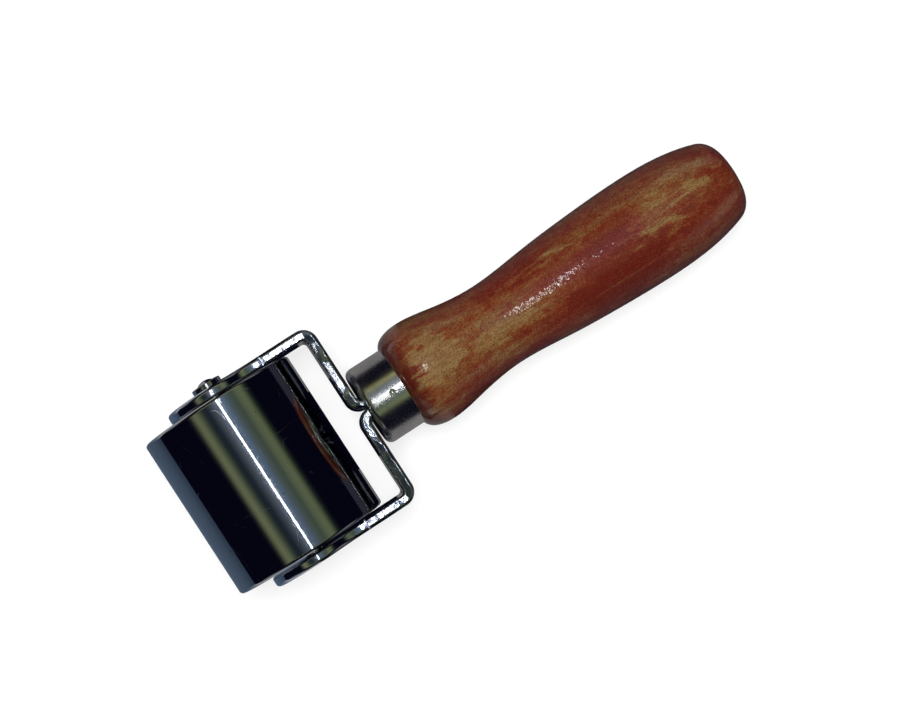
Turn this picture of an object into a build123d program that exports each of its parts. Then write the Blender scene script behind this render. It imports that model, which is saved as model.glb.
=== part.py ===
from build123d import *
import os
from math import asin, cos, sin

# Hand seam roller, a brayer with a steel roller.  A solid polished roller turns on two ball
# bearings between the arms of a fork, which is bent from two flat steel strips.  The two tangs
# of the fork go side by side through a ferrule into a turned wooden handle.
#
# The tool lies as it does on a bench, on the roller and on the swelling at the butt of the
# handle.  The origin is on the bench under the middle of the roller, +X runs along the axle,
# +Y from the roller towards the handle, and +Z is up.  All sizes are in millimetres.
# "Reach" is a distance from the axle towards the handle, along the axis of the tool.

os.makedirs("parts", exist_ok=True)

# Roller
roller_radius = 24.2
roller_width = 50.8
roller_rim_round = 1.0
roller_clearance_bore = 6.5       # radius of the bore between the bearings

# Axle and what it carries outside the roller
axle_radius = 3.0
axle_clearance = 0.02             # radial, in everything that slides over the axle
axle_head_radius = 4.6            # flush countersunk head in the right arm
axle_dome_radius = 2.8
axle_dome_height = 1.0
collar_radius = 4.6
collar_height = 2.1
collar_edge_round = 0.35
washer_radius = 5.4
end_play = 0.4                    # of the roller between the arms; it lies against the left one
washer_edge_break = 0.2

# Ball bearings, 6 x 19 x 6 mm, shielded
bearing_radius = 9.5
bearing_width = 6.0
bearing_recess = 0.6              # below the end face of the roller
bearing_edge_round = 0.3
inner_ring_radius = 5.0           # land of the inner ring
outer_ring_bore = 7.5             # land of the outer ring
ball_radius = 1.75
ball_pitch_radius = 6.25
ball_count = 6
ball_play = 0.05                  # between a ball and its grooves or pocket
cage_inner_radius = 5.6
cage_outer_radius = 6.9
cage_front = 0.9                  # the crown cage, before and behind the ball centres
cage_back = 2.3
shield_thickness = 0.3
shield_depth = 0.25               # below the side face of the rings
shield_seat = 0.4                 # how deep the shield sits in the outer ring
shield_gap = 0.1                  # from the shield to the inner ring

# Fork, bent from strip
strip_thickness = 3.2
strip_width = 20.0
fork_half_width = 29.4            # middle of the tool to the outer face of an arm
fork_back_reach = 34.1            # axle to the outer face of the back bar
eye_radius = 14.3
neck_radius = 14.0                # hollow between the eye and the strip
bend_radius = 1.3                 # inside of each bend
outer_edge_round = 1.1
inner_edge_round = 0.7
notch_reach = 17.0                # a small mark across both edges of each arm, left by forging
notch_side = 0.5                  # it is a square groove, cut on its corner
tang_end_reach = 90.0
rivet_radius = 2.0
rivet_reaches = (60.0, 80.0)

# Ferrule
ferrule_radius = 12.35
ferrule_wall = 1.0
ferrule_front_reach = 34.95
ferrule_front_round = 2.2
ferrule_slot_play = 0.3
dimple_reach = 43.5
dimple_ball_radius = 2.4
dimple_depth = 0.22

# Handle
wood_reach = 47.25                # axle to the shoulder of the wood
handle_length = 115.3             # shoulder to butt
tenon_gap = 0.3                   # between the tenon and the inside of the ferrule's front

# Turned outline of the handle: distance from the shoulder, and radius there.
shoulder_point = (0.0, 12.5)
grip_outline = [
    (1.3, 14.3),
    (4.0, 15.6),
    (9.2, 16.1),
    (19.0, 14.65),
    (31.5, 13.1),
    (50.5, 14.45),
    (68.0, 15.7),
    (84.5, 16.25),
    (99.0, 15.55),
    (110.6, 13.0),
]
butt_dome_edge = (114.2, 9.8)

# The handle touches the bench a little behind its fullest point, at this height below its axis.
rest_reach = wood_reach + 92.0
rest_drop = 16.108
tilt = asin((roller_radius - rest_drop) / rest_reach)

# The tool's own planes.  tool: x along the axle, y towards the handle.  side: seen along +X.
tool = Plane(origin=(0, 0, roller_radius), x_dir=(1, 0, 0), z_dir=(0, sin(tilt), cos(tilt)))
side = Plane(origin=tool.origin, x_dir=tool.y_dir, z_dir=tool.x_dir)
axle_line = Axis(tool.origin, tool.x_dir)
handle_line = Axis(tool.origin, tool.y_dir)

# Sizes that follow from the ones above
roller_half = roller_width / 2
arm_inner_face = fork_half_width - strip_thickness
back_inner_reach = fork_back_reach - strip_thickness
bearing_centre = roller_half - bearing_recess - bearing_width / 2
bearing_inner_end = bearing_centre - bearing_width / 2
bearing_outer_end = bearing_centre + bearing_width / 2
roller_shift = -end_play / 2
washer_thickness = arm_inner_face - bearing_outer_end - end_play / 2
groove_radius = ball_radius + ball_play
shield_outer_side = bearing_width / 2 - shield_depth
shield_inner_side = shield_outer_side - shield_thickness
ferrule_bore = ferrule_radius - ferrule_wall
tenon_reach = ferrule_front_reach + ferrule_wall + tenon_gap


def across(reach):
    """The plane square to the axis of the tool at this reach, looking towards the handle."""
    return Plane(origin=tool.from_local_coords((0, reach, 0)), x_dir=tool.x_dir, z_dir=tool.y_dir)


def bearing_plane(end):
    """The middle plane of a bearing, z pointing out of the roller.  end is -1 or 1."""
    return Plane(
        origin=tool.from_local_coords((roller_shift + end * bearing_centre, 0, 0)),
        x_dir=tool.y_dir,
        z_dir=tool.x_dir * end,
    )


def bearing_section(end):
    """The plane of a bearing's half section: x out of the roller, y outwards from the axle."""
    return Plane(
        origin=tool.from_local_coords((roller_shift + end * bearing_centre, 0, 0)),
        x_dir=tool.x_dir * end,
        z_dir=tool.z_dir * end,
    )


def band(start, stop, low, high, mode=Mode.ADD):
    """A rectangle in a half section, from start to stop along the axle and low to high in radius."""
    with Locations(((start + stop) / 2, (low + high) / 2)):
        Rectangle(stop - start, high - low, mode=mode)


def dome_sphere(edge_radius, height):
    """The radius of the sphere that a low dome is cut from."""
    return (edge_radius**2 + height**2) / (2 * height)


def save(piece, node):
    piece.part.label = node
    export_step(piece.part, f"parts/{node}.step")


# ---------------------------------------------------------------- roller

roller_section = Plane(
    origin=tool.from_local_coords((roller_shift, 0, 0)), x_dir=tool.x_dir, z_dir=tool.z_dir
)

with BuildPart() as roller_shell:
    with BuildSketch(roller_section):
        band(-roller_half, roller_half, roller_clearance_bore, roller_radius)
        band(-roller_half, -bearing_inner_end, roller_clearance_bore, bearing_radius, Mode.SUBTRACT)
        band(bearing_inner_end, roller_half, roller_clearance_bore, bearing_radius, Mode.SUBTRACT)
    revolve(axis=axle_line)
    rims = roller_shell.edges().filter_by(GeomType.CIRCLE).group_by(SortBy.RADIUS)[-1]
    fillet(rims, radius=roller_rim_round)
save(roller_shell, "roller_shell")


# ---------------------------------------------------------------- ball bearings

def inner_ring(end):
    with BuildPart() as ring:
        with BuildSketch(bearing_section(end)):
            band(-bearing_width / 2, bearing_width / 2, axle_radius + axle_clearance, inner_ring_radius)
            with Locations((0, ball_pitch_radius)):
                Circle(groove_radius, mode=Mode.SUBTRACT)
        revolve(axis=axle_line)
    return ring


def outer_ring(end):
    with BuildPart() as ring:
        with BuildSketch(bearing_section(end)):
            band(-bearing_width / 2, bearing_width / 2, outer_ring_bore, bearing_radius)
            with Locations((0, ball_pitch_radius)):
                Circle(groove_radius, mode=Mode.SUBTRACT)
            for face in (-1, 1):
                seat = sorted((face * shield_inner_side, face * bearing_width / 2))
                band(*seat, outer_ring_bore, outer_ring_bore + shield_seat, Mode.SUBTRACT)
        revolve(axis=axle_line)
        corners = ring.edges().filter_by(GeomType.CIRCLE).group_by(SortBy.RADIUS)[-1]
        fillet(corners, radius=bearing_edge_round)
    return ring


def balls(end):
    with BuildPart(bearing_plane(end)) as group:
        with PolarLocations(ball_pitch_radius, ball_count):
            Sphere(ball_radius)
    return group


def cage(end):
    """A crown cage: a band whose pockets are open towards the outer side of the bearing."""
    with BuildPart(bearing_plane(end)) as crown:
        with BuildSketch(bearing_section(end)):
            band(-cage_back, cage_front, cage_inner_radius, cage_outer_radius)
        revolve(axis=axle_line)
        with PolarLocations(ball_pitch_radius, ball_count):
            Sphere(groove_radius, mode=Mode.SUBTRACT)
    return crown


def shield(end, face):
    """A sheet shield, fixed in the outer ring.  face is 1 on the outer side of the bearing."""
    sides = sorted((face * shield_inner_side, face * shield_outer_side))
    with BuildPart() as disc:
        with BuildSketch(bearing_section(end)):
            band(*sides, inner_ring_radius + shield_gap, outer_ring_bore + shield_seat)
        revolve(axis=axle_line)
    return disc


for hand, end in (("left", -1), ("right", 1)):
    save(inner_ring(end), f"{hand}_bearing_inner_ring")
    save(outer_ring(end), f"{hand}_bearing_outer_ring")
    save(balls(end), f"{hand}_bearing_balls")
    save(cage(end), f"{hand}_bearing_cage")
    save(shield(end, 1), f"{hand}_bearing_outer_shield")
    save(shield(end, -1), f"{hand}_bearing_inner_shield")

# The tube that keeps the two inner rings apart
with BuildPart() as bearing_spacer:
    with BuildSketch(roller_section):
        band(-bearing_inner_end, bearing_inner_end, axle_radius + axle_clearance, inner_ring_radius)
    revolve(axis=axle_line)
save(bearing_spacer, "bearing_spacer")


# ---------------------------------------------------------------- axle

def thrust_washer(end):
    """The washer between an inner ring and an arm of the fork."""
    ring_face = roller_shift + end * bearing_outer_end
    start, stop = sorted((ring_face, ring_face + end * washer_thickness))
    with BuildPart() as washer:
        with BuildSketch(tool):
            band(start, stop, axle_radius + axle_clearance, washer_radius)
        revolve(axis=axle_line)
        rim = washer.edges().filter_by(GeomType.CIRCLE).group_by(SortBy.RADIUS)[-1]
        chamfer(rim, length=washer_edge_break)
    return washer


save(thrust_washer(-1), "left_thrust_washer")
save(thrust_washer(1), "right_thrust_washer")

# The axle goes in from the right, where its head is flush, and is riveted over at the left.
collar_outer_end = fork_half_width + collar_height
axle_end = collar_outer_end + axle_dome_height
head_depth = axle_head_radius - axle_radius

with BuildPart() as axle_pin:
    with BuildSketch(tool):
        with BuildLine():
            Polyline(
                (-axle_end, 0),
                (fork_half_width, 0),
                (fork_half_width, axle_head_radius),
                (fork_half_width - head_depth, axle_radius),
                (-collar_outer_end, axle_radius),
                (-collar_outer_end, axle_dome_radius),
            )
            dome_sphere_radius = dome_sphere(axle_dome_radius, axle_dome_height)
            RadiusArc((-collar_outer_end, axle_dome_radius), (-axle_end, 0), -dome_sphere_radius)
        make_face()
    revolve(axis=axle_line)
save(axle_pin, "axle_pin")

with BuildPart() as axle_collar:
    with BuildSketch(tool):
        band(-collar_outer_end, -fork_half_width, axle_radius + axle_clearance, collar_radius)
    revolve(axis=axle_line)
    outer_corner = axle_collar.edges().filter_by(GeomType.CIRCLE).group_by(SortBy.RADIUS)[-1]
    fillet(outer_corner.sort_by(Axis.X)[0], radius=collar_edge_round)
save(axle_collar, "axle_collar")


# ---------------------------------------------------------------- fork

arm_middle = fork_half_width - strip_thickness / 2
back_middle = fork_back_reach - strip_thickness / 2
tang_middle = strip_thickness / 2


def long_edges(arm, outside):
    """The edges that run along a strip, on the outer or the inner side of the fork."""
    chosen = ShapeList()
    for edge in arm.edges():
        direction = edge.tangent_at(0.5)
        start, middle = (tool.to_local_coords(edge.position_at(at)) for at in (0, 0.5))
        is_seam = edge.geom_type == GeomType.LINE and abs(direction.dot(tool.z_dir)) > 0.99
        is_end = min(start.Y, middle.Y) > tang_end_reach - 0.01
        on_arm = abs(middle.X) > arm_middle
        on_back = abs(middle.X) > tang_middle and middle.Y > back_middle
        if not is_seam and not is_end and (on_arm or on_back) == outside:
            chosen.append(edge)
    return chosen


def fork_arm(end):
    """One bent strip: the arm with its eye, half of the back bar, and a tang.

    The plan of the strip is cut to its side view, a round eye that runs through hollow necks
    into the parallel strip.
    """
    outer = end * fork_half_width
    inner = end * arm_inner_face
    tang = end * strip_thickness
    with BuildPart() as arm:
        with BuildSketch(tool) as plan:
            with BuildLine():
                Polyline(
                    (outer, -eye_radius),
                    (outer, fork_back_reach),
                    (tang, fork_back_reach),
                    (tang, tang_end_reach),
                    (0, tang_end_reach),
                    (0, back_inner_reach),
                    (inner, back_inner_reach),
                    (inner, -eye_radius),
                    close=True,
                )
            make_face()
            bends = {
                (outer, fork_back_reach): bend_radius + strip_thickness,
                (inner, back_inner_reach): bend_radius,
                (0, back_inner_reach): bend_radius + strip_thickness,
                (tang, fork_back_reach): bend_radius,
            }
            for (x, reach), radius in bends.items():
                corner = plan.vertices().sort_by_distance((x, reach, 0))[0]
                fillet(corner, radius=radius)
        extrude(amount=eye_radius, both=True)
        with BuildSketch(side) as profile:
            Circle(eye_radius)
            with Locations((tang_end_reach / 2, 0)):
                Rectangle(tang_end_reach, strip_width)
            necks = profile.vertices().group_by(Axis.X)[0]
            fillet(necks, radius=neck_radius)
        extrude(amount=fork_half_width, both=True, mode=Mode.INTERSECT)
        fillet(long_edges(arm, outside=True), radius=outer_edge_round)
        fillet(long_edges(arm, outside=False), radius=inner_edge_round)
        with BuildSketch(side):
            with Locations((notch_reach, strip_width / 2), (notch_reach, -strip_width / 2)):
                Rectangle(notch_side, notch_side, rotation=45)
        extrude(amount=fork_half_width, both=True, mode=Mode.SUBTRACT)
        with BuildSketch(side):
            with Locations(*((reach, 0) for reach in rivet_reaches)):
                Circle(rivet_radius)
        extrude(amount=strip_thickness, both=True, mode=Mode.SUBTRACT)
        with BuildSketch(tool):
            if end > 0:
                with BuildLine():
                    Polyline(
                        (0, 0),
                        (fork_half_width, 0),
                        (fork_half_width, axle_head_radius),
                        (fork_half_width - head_depth, axle_radius),
                        (0, axle_radius),
                        close=True,
                    )
                make_face()
            else:
                band(-fork_half_width, 0, 0, axle_radius + axle_clearance)
        revolve(axis=axle_line, mode=Mode.SUBTRACT)
    return arm


for hand, end in (("left", -1), ("right", 1)):
    save(fork_arm(end), f"{hand}_fork_arm")

# Flush rivets that hold the tangs together inside the handle
with BuildPart() as tang_rivets:
    with BuildSketch(side):
        with Locations(*((reach, 0) for reach in rivet_reaches)):
            Circle(rivet_radius)
    extrude(amount=strip_thickness, both=True)
save(tang_rivets, "tang_rivets")


# ---------------------------------------------------------------- ferrule

# A drawn cup with a slot in its front for the tangs, pinned by one punched dimple on top.
with BuildPart() as ferrule:
    with BuildSketch(tool):
        with BuildLine():
            Polyline(
                (0, ferrule_front_reach),
                (ferrule_radius, ferrule_front_reach),
                (ferrule_radius, wood_reach),
                (ferrule_bore, wood_reach),
                (ferrule_bore, ferrule_front_reach + ferrule_wall),
                (0, ferrule_front_reach + ferrule_wall),
                close=True,
            )
        make_face()
    revolve(axis=handle_line)
    circles = ferrule.edges().filter_by(GeomType.CIRCLE).sort_by(handle_line)
    front_outer = circles.group_by(handle_line)[0]
    front_inner = circles.group_by(handle_line)[1]
    fillet(front_inner, radius=ferrule_front_round - ferrule_wall)
    fillet(front_outer, radius=ferrule_front_round)
    with BuildSketch(across(ferrule_front_reach)):
        RectangleRounded(
            2 * (strip_thickness + ferrule_slot_play),
            strip_width + 2 * ferrule_slot_play,
            radius=ferrule_slot_play,
        )
    extrude(amount=ferrule_front_round, mode=Mode.SUBTRACT)
    dimple_height = ferrule_radius - dimple_depth + dimple_ball_radius
    with Locations(tool.from_local_coords((0, dimple_reach, dimple_height))):
        Sphere(dimple_ball_radius, mode=Mode.SUBTRACT)
save(ferrule, "ferrule")


# ---------------------------------------------------------------- handle

butt_reach = wood_reach + handle_length

with BuildPart() as handle:
    with BuildSketch(tool):
        with BuildLine():
            Polyline(
                (0, butt_reach),
                (0, tenon_reach),
                (ferrule_bore - ferrule_front_round, tenon_reach),
                (ferrule_bore, tenon_reach + ferrule_front_round),
                (ferrule_bore, wood_reach),
                (shoulder_point[1], wood_reach),
            )
            turned = [(radius, wood_reach + along) for along, radius in [shoulder_point, *grip_outline]]
            grip = Spline(*turned)
            dome_edge = (butt_dome_edge[1], wood_reach + butt_dome_edge[0])
            TangentArc(grip @ 1, dome_edge, tangent=grip % 1)
            butt_dome_height = butt_reach - dome_edge[1]
            RadiusArc(dome_edge, (0, butt_reach), -dome_sphere(dome_edge[0], butt_dome_height))
        make_face()
    revolve(axis=handle_line)
    with BuildSketch(across(tenon_reach)):
        Rectangle(2 * strip_thickness, strip_width)
    extrude(amount=tang_end_reach - tenon_reach, mode=Mode.SUBTRACT)
save(handle, "handle")
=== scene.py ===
"""Looks of a hand seam roller: a polished roller in a plated fork, with a varnished handle."""
from math import asin, cos, pi, radians, sin

import bmesh
import bpy
from mathutils import Matrix, Vector


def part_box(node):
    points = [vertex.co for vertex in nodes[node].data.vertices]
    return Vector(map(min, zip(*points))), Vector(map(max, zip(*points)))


MM = 0.001

# The fork's strip: its thickness, and its middles beside the roller, behind it and in the ferrule
STRIP = 3.2 * MM
ARM_MIDDLE = 27.8 * MM
BACK_MIDDLE = 32.5 * MM
TANG_MIDDLE = 1.6 * MM

# Where the handle rests on the bench: its distance from the axle, and the height of its axis there
REST_REACH = 139.25 * MM
REST_HEIGHT = 16.108 * MM

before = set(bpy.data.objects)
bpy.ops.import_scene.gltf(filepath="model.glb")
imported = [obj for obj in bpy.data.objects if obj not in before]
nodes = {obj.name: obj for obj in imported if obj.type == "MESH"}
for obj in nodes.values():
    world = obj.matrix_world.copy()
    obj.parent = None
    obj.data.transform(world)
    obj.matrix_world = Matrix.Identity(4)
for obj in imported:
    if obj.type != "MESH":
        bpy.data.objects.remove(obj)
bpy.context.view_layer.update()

# The axle lies along X, a roller's radius above the bench. The tool's long axis slopes down from
# there towards +Y.
roller_low, roller_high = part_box("roller_shell")
AXLE_HEIGHT = (roller_high.z - roller_low.z) / 2
TILT = asin((AXLE_HEIGHT - REST_HEIGHT) / REST_REACH)
LEVELLED = (TILT, 0, 0)


# ---------------------------------------------------------------- material helpers

class Nodes:
    """A node tree whose nodes are added one at a time."""

    def __init__(self, tree):
        self.tree = tree

    def add(self, kind, settings=None, **inputs):
        """A node; settings are its properties, inputs its sockets, by name or as i0, i1 by place:
        each a value or another node's socket."""
        made = self.tree.nodes.new("ShaderNode" + kind)
        for key, value in (settings or {}).items():
            setattr(made, key, value)
        for key, value in inputs.items():
            by_place = key[0] == "i" and key[1:].isdigit()
            self.join(made.inputs[int(key[1:]) if by_place else key], value)
        return made

    def join(self, socket, value):
        """Links the socket to another node's, or sets its value."""
        if isinstance(value, bpy.types.NodeSocket):
            self.tree.links.new(value, socket)
        else:
            socket.default_value = value

    def place(self, scale=(1, 1, 1), turn=(0, 0, 0), shift=(0, 0, 0)):
        """Object coordinates in metres, scaled, turned and moved."""
        spot = self.add("TexCoord").outputs["Object"]
        made = self.add("Mapping", Vector=spot, Location=shift, Rotation=turn, Scale=scale)
        return made.outputs[0]

    def axes(self, vector):
        """The x, y and z of a vector."""
        return self.add("SeparateXYZ", i0=vector).outputs

    def vector_math(self, operation, a, b=(0, 0, 0)):
        """The outputs of a vector operation: 0 is a vector, and Value a number."""
        return self.add("VectorMath", {"operation": operation}, i0=a, i1=b).outputs

    def noise(self, vector, scale, detail=2.0, roughness=0.5, distortion=0.0):
        made = self.add("TexNoise", Vector=vector, Scale=scale, Detail=detail)
        made.inputs["Roughness"].default_value = roughness
        made.inputs["Distortion"].default_value = distortion
        return made.outputs["Fac"]

    def math(self, operation, a, b=0.0):
        return self.add("Math", {"operation": operation}, i0=a, i1=b).outputs[0]

    def total(self, values):
        """The sum of the values."""
        result = values[0]
        for value in values[1:]:
            result = self.math("ADD", result, value)
        return result

    def spread(self, value, low, high, to_low=0.0, to_high=1.0):
        """Stretches value from low..high to to_low..to_high, and clamps it."""
        made = self.add("MapRange", Value=value)
        made.inputs["From Min"].default_value = low
        made.inputs["From Max"].default_value = high
        made.inputs["To Min"].default_value = to_low
        made.inputs["To Max"].default_value = to_high
        return made.outputs[0]

    def ramp(self, value, stops):
        """stops are (position, colour)."""
        made = self.add("ValToRGB", Fac=value)
        points = made.color_ramp.elements
        while len(points) < len(stops):
            points.new(0.5)
        for point, (position, colour) in zip(points, stops):
            point.position = position
            point.color = (*colour, 1)
        return made.outputs["Color"]

    def mix(self, factor, a, b):
        """Colour a where factor is 0, and b where it is 1."""
        made = self.add("Mix", {"data_type": "RGBA"})
        self.join(made.inputs["Factor"], factor)
        for socket, colour in zip((made.inputs[6], made.inputs[7]), (a, b)):
            self.join(socket, colour if isinstance(colour, bpy.types.NodeSocket) else (*colour, 1))
        return made.outputs[2]

    def bump(self, height, distance, below=None):
        """The normal of a surface raised by height times distance, in metres, over another bump."""
        made = self.add("Bump", Height=height, Distance=distance)
        if below is not None:
            self.join(made.inputs["Normal"], below)
        return made.outputs["Normal"]


class Paint(Nodes):
    """A material made of one shader and the nodes that feed it."""

    def __init__(self, name):
        self.material = bpy.data.materials.new(name)
        self.material.use_nodes = True
        super().__init__(self.material.node_tree)
        self.shader = next(n for n in self.tree.nodes if n.type == "BSDF_PRINCIPLED")

    def set(self, **inputs):
        """Sets or links the shader's sockets, named with _ for a space."""
        for key, value in inputs.items():
            self.join(self.shader.inputs[key.replace("_", " ")], value)


# ---------------------------------------------------------------- materials

def darker(tint, share):
    return tuple(c * share for c in tint)


def around_axle(paint, across, around):
    """Coordinates for marks that run round the axle: along it in across, round it in around."""
    spot = paint.axes(paint.place(shift=(0, 0, -AXLE_HEIGHT)))
    angle = paint.math("ARCTAN2", spot[1], spot[2])
    along = paint.math("MULTIPLY", spot[0], across)
    return paint.add("CombineXYZ", i0=along, i1=paint.math("MULTIPLY", angle, around)).outputs[0]


def hairlines(paint, vector, scale, width):
    """Thin curved scratches: the contour lines of a slow noise, broken up by another."""
    slow = paint.noise(vector, scale, 1.0)
    off = paint.math("ABSOLUTE", paint.math("SUBTRACT", slow, 0.5))
    line = paint.spread(off, width, 0.0)
    gaps = paint.spread(paint.noise(vector, scale * 2.7, 1.0), 0.54, 0.60)
    return paint.math("MULTIPLY", line, gaps)


def polished_steel(name, tint, rough_low, rough_high, grind, grind_depth):
    """Ground and polished steel with fine marks round the axle, smears, scratches and specks.
    grind is how close the marks are, per metre along the axle."""
    scratch_depth = 0.002 * MM
    scratch_roughness = 0.25
    paint = Paint(name)
    lines = paint.noise(around_axle(paint, grind, 1.5), 1.0, 3.0, 0.7)
    smear = paint.noise(paint.place(), 70, 3.0, 0.6)
    fine = paint.noise(around_axle(paint, grind * 0.2, 14), 1.0, 2.0, 0.6)
    one_way = paint.place((1, 0.35, 1), (0.6, 0.2, 0.5))
    other_way = paint.place((0.4, 1, 1), (0.3, 0.5, 1.3))
    long_scratches = hairlines(paint, one_way, 60, 0.0035)
    short_scratches = hairlines(paint, other_way, 85, 0.003)
    scratch = paint.math("MAXIMUM", long_scratches, short_scratches)
    rough_smears = paint.math("MULTIPLY", smear, fine)
    roughness = paint.spread(rough_smears, 0.1, 0.45, rough_low, rough_high)
    roughness = paint.math("ADD", roughness, paint.math("MULTIPLY", scratch, scratch_roughness))
    specks = paint.spread(paint.noise(paint.place(), 900, 1.0), 0.76, 0.80)
    colour = paint.mix(smear, tint, darker(tint, 0.86))
    colour = paint.mix(specks, colour, darker(tint, 0.35))
    paint.set(Base_Color=colour, Metallic=1.0, Roughness=roughness)
    grooves = paint.bump(paint.math("SUBTRACT", 1.0, scratch), scratch_depth)
    paint.set(Normal=paint.bump(lines, grind_depth, grooves))
    return paint


def plated(name, tint, rough_low, rough_high, ripple_scale, ripple_depth):
    """Bright plating over worked metal: ripples, this many per metre, and smears."""
    paint = Paint(name)
    smear = paint.noise(paint.place(), 120, 4.0, 0.65)
    ripple = paint.noise(paint.place(), ripple_scale, 3.0, 0.55)
    colour = paint.mix(paint.spread(smear, 0.35, 0.7), tint, darker(tint, 0.8))
    paint.set(Base_Color=colour, Metallic=1.0)
    paint.set(Roughness=paint.spread(smear, 0.3, 0.75, rough_low, rough_high))
    paint.set(Normal=paint.bump(ripple, ripple_depth))
    return paint


def fork_finish(name):
    """Plating over strip whose edges are a little crowned and, behind the eyes, still rough."""
    crown = 4.0                 # height lost, in metres, per square metre off the middle
    grit_depth = 0.06 * MM
    ripple_at_eye, ripple_behind = 0.05 * MM, 0.12 * MM
    lean_most = 0.6 * MM        # over the back bar's thickness
    eyes_end = 16 * MM
    bright, dull = (0.66, 0.69, 0.77), (0.51, 0.54, 0.62)

    paint = Paint(name)
    spot = paint.place(turn=LEVELLED)
    axes = paint.axes(spot)
    side = paint.math("ABSOLUTE", axes[0])
    reach = paint.math("ADD", axes[1], AXLE_HEIGHT * sin(TILT))

    offsets = [
        paint.math("SUBTRACT", side, ARM_MIDDLE),
        paint.math("SUBTRACT", reach, BACK_MIDDLE),
        paint.math("SUBTRACT", side, TANG_MIDDLE),
    ]
    squares = [paint.math("MULTIPLY", offset, offset) for offset in offsets]
    nearest = paint.math("MINIMUM", paint.math("MINIMUM", squares[0], squares[1]), squares[2])
    crowning = paint.math("MULTIPLY", nearest, -crown)

    behind_eye = paint.spread(reach, eyes_end, eyes_end + 2 * MM)
    patches = paint.spread(paint.noise(spot, 130, 2.0), 0.50, 0.58)
    rough_edge = paint.math("MULTIPLY", behind_eye, patches)
    grit = paint.math("MULTIPLY", paint.noise(spot, 2300, 2.0, 0.6), rough_edge)
    grit = paint.math("MULTIPLY", grit, grit_depth)
    ripple_depth = paint.spread(behind_eye, 0.0, 1.0, ripple_at_eye, ripple_behind)
    ripple = paint.math("MULTIPLY", paint.noise(spot, 230, 3.0, 0.5), ripple_depth)

    across_back = paint.spread(reach, BACK_MIDDLE - STRIP / 2, BACK_MIDDLE + STRIP / 2)
    slope = paint.spread(paint.noise(spot, 90, 1.0), 0.46, 0.56, 0.0, lean_most)
    lean = paint.math("MULTIPLY", across_back, slope)
    height = paint.total([crowning, grit, ripple, lean])

    smear = paint.noise(spot, 240, 4.0, 0.65)
    paint.set(Base_Color=paint.mix(paint.spread(smear, 0.35, 0.7), bright, dull), Metallic=1.0)
    paint.set(Roughness=paint.spread(smear, 0.35, 0.70, 0.06, 0.15))
    paint.set(Normal=paint.bump(height, 1.0))
    return paint


# Patches where the wood is darker (below zero) or lighter, mostly where the stain took more or
# less,
# with the handle levelled: across the handle, along it from the roller's middle, half width, half
# length, amount
STAINS = [
    (7.5 * MM, 117 * MM, 8 * MM, 21 * MM, -0.350),
    (-4.0 * MM, 117 * MM, 5 * MM, 17 * MM, -0.130),
    (-8.5 * MM, 88 * MM, 6 * MM, 16 * MM, -0.130),
    (10.0 * MM, 90 * MM, 7 * MM, 18 * MM, -0.110),
    (0.0 * MM, 162 * MM, 22 * MM, 17 * MM, -0.100),
    (6.0 * MM, 142 * MM, 12 * MM, 14 * MM, -0.070),
    # Painted shade: this row darkens the shoulder at the ferrule.
    (0.0 * MM, 44 * MM, 22 * MM, 6 * MM, -0.250),
    (0.0 * MM, 110 * MM, 24 * MM, 24 * MM, -0.050),
    (0.0 * MM, 57 * MM, 20 * MM, 9 * MM, 0.060),
    (0.0 * MM, 82 * MM, 20 * MM, 14 * MM, 0.030),
    (12.0 * MM, 60 * MM, 7 * MM, 9 * MM, -0.080),
    # These three rows make the wood lighter round the varnish's highlight on the front bulb.
    (-2.5 * MM, 58 * MM, 11 * MM, 8 * MM, 0.130),
    (-3.0 * MM, 57 * MM, 9 * MM, 6 * MM, 0.090),
    (-1.5 * MM, 53 * MM, 7 * MM, 5 * MM, 0.140),
    (2.0 * MM, 76 * MM, 7 * MM, 15 * MM, 0.070),
    (3.0 * MM, 131 * MM, 5 * MM, 10 * MM, 0.160),
    (-2.4 * MM, 146 * MM, 1.6 * MM, 11 * MM, 0.170),
    (-7.8 * MM, 94 * MM, 1.1 * MM, 28 * MM, 0.130),
    (2.6 * MM, 121 * MM, 1.2 * MM, 18 * MM, 0.170),
    (-8.0 * MM, 134 * MM, 6 * MM, 24 * MM, 0.040),
]


def stains(paint):
    """The sum of the soft patches in STAINS, their edges ragged along the grain."""
    ragged_across, ragged_along = 10 * MM, 30 * MM
    grain = paint.place((1, 0.3, 1), LEVELLED)
    ragged = paint.add("TexNoise", Vector=grain, Scale=330, Detail=3)
    push = paint.vector_math("SUBTRACT", ragged.outputs["Color"], (0.5, 0.5, 0.5))[0]
    push = paint.vector_math("MULTIPLY", push, (ragged_across, ragged_along, 0))[0]
    spot = paint.vector_math("ADD", paint.place(turn=LEVELLED), push)[0]
    patches = []
    for across, along, half_width, half_length, amount in STAINS:
        off = paint.vector_math("SUBTRACT", spot, (across, along, 0))[0]
        off = paint.vector_math("MULTIPLY", off, (1 / half_width, 1 / half_length, 0))[0]
        distance = paint.vector_math("LENGTH", off)["Value"]
        patches.append(paint.spread(distance, 1.0, 0.25, 0.0, amount))
    return paint.total(patches)


def wood_tone(paint):
    """How light the stained wood is, mostly 0.35 to 0.60: blotches down to fine grain."""
    blotch_place = paint.place((1, 0.40, 1), LEVELLED, (0.3, 0.2, 0.1))
    blotch = paint.noise(blotch_place, 90, 4.0, 0.55, 0.5)
    mottle = paint.noise(paint.place((1, 0.45, 1), LEVELLED), 420, 4.0, 0.7)
    grain = paint.noise(paint.place((1, 0.6, 1), LEVELLED), 1300, 2.0, 0.6)
    flame = paint.noise(paint.place((300, 11, 300), LEVELLED), 1.0, 3.0, 0.6)
    shares = ((blotch, 0.30), (mottle, 0.30), (grain, 0.20), (flame, 0.20))
    parts = [paint.math("MULTIPLY", noise, share) for noise, share in shares]
    return paint.total(parts + [stains(paint)])


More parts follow.
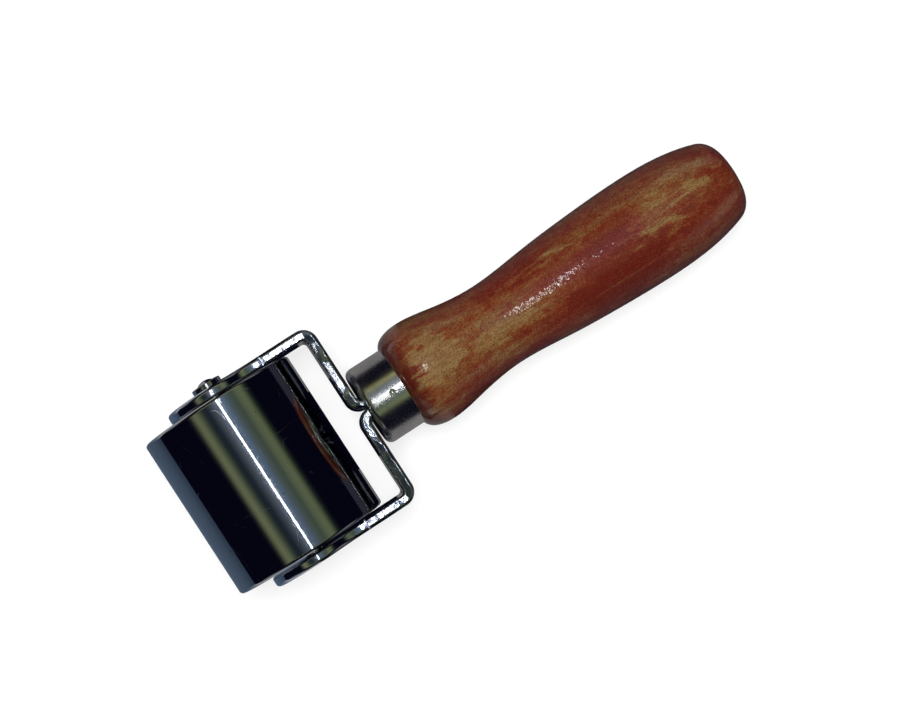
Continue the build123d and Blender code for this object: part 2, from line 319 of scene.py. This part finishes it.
def varnished_wood(name):
    """Stained hardwood: blotches of stain, ochre streaks, fibres, and a thick gloss, with painted
    shade on its shoulder at the ferrule.
    """
    ochre, shoulder_shade = (0.245, 0.150, 0.056), (0.030, 0.006, 0.003)
    dark_pore, light_pore = (0.085, 0.010, 0.004), (0.230, 0.105, 0.040)
    shade_start, shade_full = 51.5 * MM, 47.5 * MM      # where the painted shade on the shoulder at the ferrule darkens
    fibre_depth = 0.03 * MM
    peel_depth = 0.09 * MM

    paint = Paint(name)
    spot = paint.place(turn=LEVELLED)
    tone = wood_tone(paint)
    wood = paint.ramp(paint.spread(tone, 0.35, 0.60), [
        (0.0, (0.105, 0.003, 0.002)),
        (0.25, (0.135, 0.008, 0.003)),
        (0.50, (0.158, 0.030, 0.008)),
        (0.75, (0.182, 0.078, 0.022)),
        (1.0, (0.220, 0.138, 0.048)),
    ])
    streaks = paint.noise(paint.place((430, 24, 430), LEVELLED, (0.5, 0.1, 0)), 1.0, 2.0, 0.5)
    wood = paint.mix(paint.spread(streaks, 0.64, 0.76, 0.0, 0.5), wood, ochre)
    fibres = paint.noise(paint.place((1500, 110, 1500), LEVELLED), 1.0, 2.0, 0.6)
    wood = paint.mix(paint.spread(fibres, 0.40, 0.62, 0.0, 0.45), wood, dark_pore)
    speckle = paint.noise(spot, 2500, 2.0, 0.7)
    wood = paint.mix(paint.spread(speckle, 0.50, 0.62, 0.0, 0.8), wood, dark_pore)
    strength = paint.spread(tone, 0.34, 0.46, 0.28, 0.45)
    light = paint.math("MULTIPLY", paint.spread(speckle, 0.50, 0.36), strength)
    wood = paint.mix(light, wood, light_pore)
    # Painted shade: the shoulder's face at the ferrule is darkened almost to black.
    painted_shoulder_shade = paint.spread(paint.axes(spot)[1], shade_start, shade_full, 0.0, 0.65)
    wood = paint.mix(painted_shoulder_shade, wood, shoulder_shade)
    paint.set(Base_Color=wood, Roughness=0.5, Normal=paint.bump(fibres, fibre_depth))

    peel = paint.noise(spot, 750, 1.0, 0.5)
    paint.set(Coat_Weight=1.0, Coat_Roughness=0.04, Coat_IOR=1.6)
    paint.set(Coat_Normal=paint.bump(peel, peel_depth))
    return paint


roller_steel = polished_steel("roller_steel", (0.60, 0.62, 0.65), 0.035, 0.09, 5200, 0.0003 * MM)
round_axle = roller_steel.add("Tangent", {"direction_type": "RADIAL", "axis": "X"}).outputs[0]
roller_steel.set(Anisotropic=0.6, Tangent=round_axle)
bearing_steel = polished_steel("bearing_steel", (0.58, 0.59, 0.61), 0.12, 0.24, 9000, 0.001 * MM)
axle_steel = polished_steel("axle_steel", (0.64, 0.64, 0.66), 0.10, 0.22, 5000, 0.001 * MM)
cage_brass = polished_steel("cage_brass", (0.60, 0.42, 0.17), 0.20, 0.35, 3000, 0.002 * MM)
fork_plating = fork_finish("fork_plating")
ferrule_plating = plated("ferrule_plating", (0.95, 0.93, 0.90), 0.18, 0.30, 160, 0.03 * MM)
handle_wood = varnished_wood("varnished_wood")

FINISHES = {
    "handle": handle_wood,
    "ferrule": ferrule_plating,
    "left_fork_arm": fork_plating,
    "right_fork_arm": fork_plating,
    "tang_rivets": axle_steel,
    "axle_pin": axle_steel,
    "axle_collar": axle_steel,
    "roller_shell": roller_steel,
    "bearing_spacer": bearing_steel,
    "left_thrust_washer": bearing_steel,
    "right_thrust_washer": bearing_steel,
}

for name, node in nodes.items():
    paint = FINISHES.get(name, cage_brass if name.endswith("cage") else bearing_steel)
    for slot in node.material_slots:
        slot.material = paint.material


# ---------------------------------------------------------------- stage, light and camera

def plain(name, colour, glow):
    """A matt material with a faint light of its own; glow is its radiance."""
    paint = Paint(name)
    paint.set(Base_Color=(*colour, 1), Roughness=1.0, Specular_IOR_Level=0.0)
    paint.set(Emission_Color=(1, 1, 1, 1), Emission_Strength=glow)
    return paint


def stage_piece(name, bm, paint):
    """A piece of the stage from a bmesh, which isn't part of the tool."""
    bmesh.ops.recalc_face_normals(bm, faces=bm.faces)
    mesh = bpy.data.meshes.new(name)
    bm.to_mesh(mesh)
    bm.free()
    mesh.shade_smooth()
    mesh.materials.append(paint.material)
    piece = bpy.data.objects.new(name, mesh)
    bpy.context.scene.collection.objects.link(piece)
    return piece


def only_in_reflections(piece):
    """Hides the piece from the camera and the lights, so that it shows in shiny pieces only."""
    piece.visible_camera = False
    piece.visible_diffuse = False
    piece.visible_shadow = False


def sheet(name, outline, height, paint):
    """A flat sheet with this outline, (x, y) in metres."""
    bm = bmesh.new()
    bm.faces.new([bm.verts.new((x, y, height)) for x, y in outline])
    return stage_piece(name, bm, paint)


def reflected_sheet(name, low, high, height, paint):
    """A flat rectangle from low to high, (x, y) in metres, that only reflections see."""
    outline = [low, (high[0], low[1]), high, (low[0], high[1])]
    only_in_reflections(sheet(name, outline, height, paint))


def reflection_card(azimuth):
    """A soft-edged card off to one corner, for the metal to reflect; it lights nothing else."""
    elevation, distance, tall, wide = 13, 1.0, 0.50, 0.90
    bm = bmesh.new()
    bmesh.ops.create_grid(bm, x_segments=1, y_segments=1, size=0.5)
    away = Matrix.Rotation(radians(azimuth), 4, "Z") @ Matrix.Rotation(radians(-elevation), 4, "Y")
    stand = Matrix.Translation((distance, 0, 0)) @ Matrix.Rotation(radians(90), 4, "Y")
    bm.transform(away @ stand @ Matrix.Diagonal((tall, wide, 1, 1)))
    paint = plain("card", (0, 0, 0), 0.0)
    across = paint.axes(paint.add("TexCoord").outputs["Generated"])
    brightness = 4.5
    for along in (across[0], across[2]):
        hump = paint.math("MULTIPLY", along, paint.math("SUBTRACT", 1.0, along))
        brightness = paint.math("MULTIPLY", hump, brightness)
    paint.set(Emission_Strength=brightness)
    only_in_reflections(stage_piece(f"card_{azimuth}", bm, paint))


def painted_floor_in_front():
    """Blue-grey straight in front of the roller, darker further off as painted falloff of light,
    and pale to both sides.
    """
    lit_near, dim_far, pale = (0.130, 0.185, 0.268), (0.070, 0.100, 0.150), (0.8, 0.8, 0.8)
    paint = plain("painted_floor_in_front", (0, 0, 0), 0.0)
    axes = paint.axes(paint.place())
    ahead = paint.mix(paint.spread(axes[1], -0.03, -0.17), lit_near, dim_far)
    aside = paint.spread(paint.math("ABSOLUTE", axes[0]), 0.04, 0.13)
    paint.set(Base_Color=paint.mix(aside, ahead, pale))
    return paint


def stage():
    """A pale floor and backdrop, darker sheets that only reflections see, with painted shadow under
    the tool, and the cards.
    """
    middle, radius, steps = Vector((0, 0.05)), 2.5, 96
    turns = [2 * pi * step / steps for step in range(steps)]
    outline = [middle + radius * Vector((cos(turn), sin(turn))) for turn in turns]
    pale = (0.3, 0.3, 0.3)
    floor = sheet("floor", outline, -0.2 * MM, plain("pale_floor", pale, 0.72))
    floor.visible_glossy = False

    bm = bmesh.new()
    bmesh.ops.create_cone(
        bm, cap_ends=False, segments=steps, radius1=radius, radius2=radius, depth=3)
    bm.transform(Matrix.Translation((middle.x, middle.y, 1.49)))
    backdrop = stage_piece("backdrop", bm, plain("pale_backdrop", pale, 0.60))
    backdrop.visible_glossy = False
    backdrop.visible_shadow = False
    backdrop.visible_diffuse = False

    beside = plain("sheet_beside", (0.25, 0.245, 0.25), 0.0)
    # Painted shade: a dark sheet standing for the shaded floor under the handle, seen only in
    # reflections.
    behind = plain("floor_shade_behind", (0.045, 0.045, 0.065), 0.0)
    reflected_sheet("sheet_in_front", (-0.9, -0.26), (0.9, 0.0), -0.4 * MM, painted_floor_in_front())
    # Painted shadow in reflections: the gap between these two sheets under the tool shows the dark
    # room, as shaded floor would.
    reflected_sheet("sheet_left", (-0.24, 0.028), (-0.014, 0.056), -0.4 * MM, beside)
    reflected_sheet("sheet_right", (0.014, 0.028), (0.24, 0.056), -0.4 * MM, beside)
    reflected_sheet("floor_shade_behind", (-0.2, 0.08), (0.2, 0.30), -0.5 * MM, behind)
    for quarter in range(4):
        reflection_card(45 + 90 * quarter)


# What the metal sees, by degrees from an axis that leans a little from the vertical: a pale
# patch of ceiling, a dim ring round it, and a dark room.
SKY_AXIS = Vector((-0.096, 0.105, 0.99)).normalized()
CEILING_BEHIND = [
    (0, (0.14, 0.20, 0.29)),
    (8, (0.13, 0.19, 0.27)),
    (13, (0.107, 0.136, 0.161)),
    (17, (0.090, 0.122, 0.100)),
    (22, (0.074, 0.100, 0.070)),
    (27, (0.130, 0.155, 0.092)),
    (32, (0.158, 0.188, 0.100)),
    (36, (0.145, 0.172, 0.086)),
    (39, (0.080, 0.098, 0.054)),
    (43, (0.014, 0.021, 0.017)),
    (48, (0.0024, 0.0024, 0.009)),
]
CEILING_IN_FRONT = [
    (0, (0.20, 0.21, 0.27)),
    (5, (0.19, 0.20, 0.25)),
    (10, (0.100, 0.115, 0.135)),
    (15, (0.046, 0.060, 0.078)),
    (19, (0.018, 0.026, 0.039)),
    (24, (0.022, 0.032, 0.034)),
    (28, (0.065, 0.082, 0.056)),
    (33, (0.155, 0.175, 0.094)),
    (37, (0.200, 0.218, 0.115)),
    (41, (0.130, 0.142, 0.078)),
    (45, (0.022, 0.026, 0.024)),
    (49, (0.0024, 0.0024, 0.009)),
]
CEILING_LEFT = [
    (0, (0.16, 0.18, 0.23)),
    (10, (0.20, 0.22, 0.28)),
    (18, (0.17, 0.20, 0.25)),
    (25, (0.10, 0.12, 0.12)),
    (29, (0.20, 0.20, 0.12)),
    (33, (0.36, 0.35, 0.17)),
    (38, (0.20, 0.20, 0.09)),
    (42, (0.03, 0.03, 0.02)),
    (47, (0.0024, 0.0024, 0.009)),
]


def sky():
    """The ceiling's rings behind, in front of and to the left of the tool, blended by direction."""
    world = bpy.data.worlds.new("studio")
    bpy.context.scene.world = world
    world.use_nodes = True
    paint = Nodes(world.node_tree)
    background = next(n for n in paint.tree.nodes if n.type == "BACKGROUND")
    toward = paint.add("TexCoord").outputs["Generated"]
    lean = paint.vector_math("DOT_PRODUCT", toward, SKY_AXIS)["Value"]
    angle = paint.math("DIVIDE", paint.math("ARCCOSINE", lean), pi)
    axes = paint.axes(toward)
    rings = []
    for zones in (CEILING_IN_FRONT, CEILING_BEHIND, CEILING_LEFT):
        stops = [(degrees_off / 180, colour) for degrees_off, colour in zones]
        rings.append(paint.ramp(angle, stops))
    seen = paint.mix(paint.spread(axes[1], -0.06, 0.12), rings[0], rings[1])
    seen = paint.mix(paint.spread(axes[0], -0.12, -0.40), seen, rings[2])
    paint.join(background.inputs["Color"], seen)


def lamp(name, place, target, size, watts):
    """A rectangular area light, size along X and along Y."""
    data = bpy.data.lights.new(name, "AREA")
    data.shape = "RECTANGLE"
    data.size, data.size_y = size
    data.energy = watts
    made = bpy.data.objects.new(name, data)
    made.location = place
    made.rotation_euler = (Vector(target) - Vector(place)).to_track_quat("-Z", "Y").to_euler()
    made.visible_camera = False
    bpy.context.scene.collection.objects.link(made)
    return made


def lights():
    """The sky, a softbox that lights without glinting, and two lamps for the highlights."""
    sky()
    soft = lamp("softbox", (-0.07, 0.05, 0.9), (0, 0.05, 0), (0.36, 0.36), 9.7)
    soft.visible_glossy = False
    lamp("ceiling_lamp", (0.0, 0.108, 1.18), (0, 0.06, 0), (0.22, 0.020), 0.22)
    lamp("side_lamp", (-0.145, 0.170, 1.18), (0, 0.06, 0), (0.10, 0.09), 0.24)


def camera():
    """Looking straight down, with the tool off the middle of the lens."""
    data = bpy.data.cameras.new("camera")
    data.sensor_width = 36
    data.lens = 74.67
    data.shift_x = 0.0584
    data.shift_y = 0.0400
    data.clip_end = 20
    made = bpy.data.objects.new("camera", data)
    made.location = (1.74 * MM, 44.72 * MM, 564 * MM)
    made.rotation_euler = (0, 0, radians(56.985))
    bpy.context.scene.collection.objects.link(made)
    bpy.context.scene.camera = made


stage()
lights()
camera()
bpy.context.scene.view_settings.view_transform = "Standard"
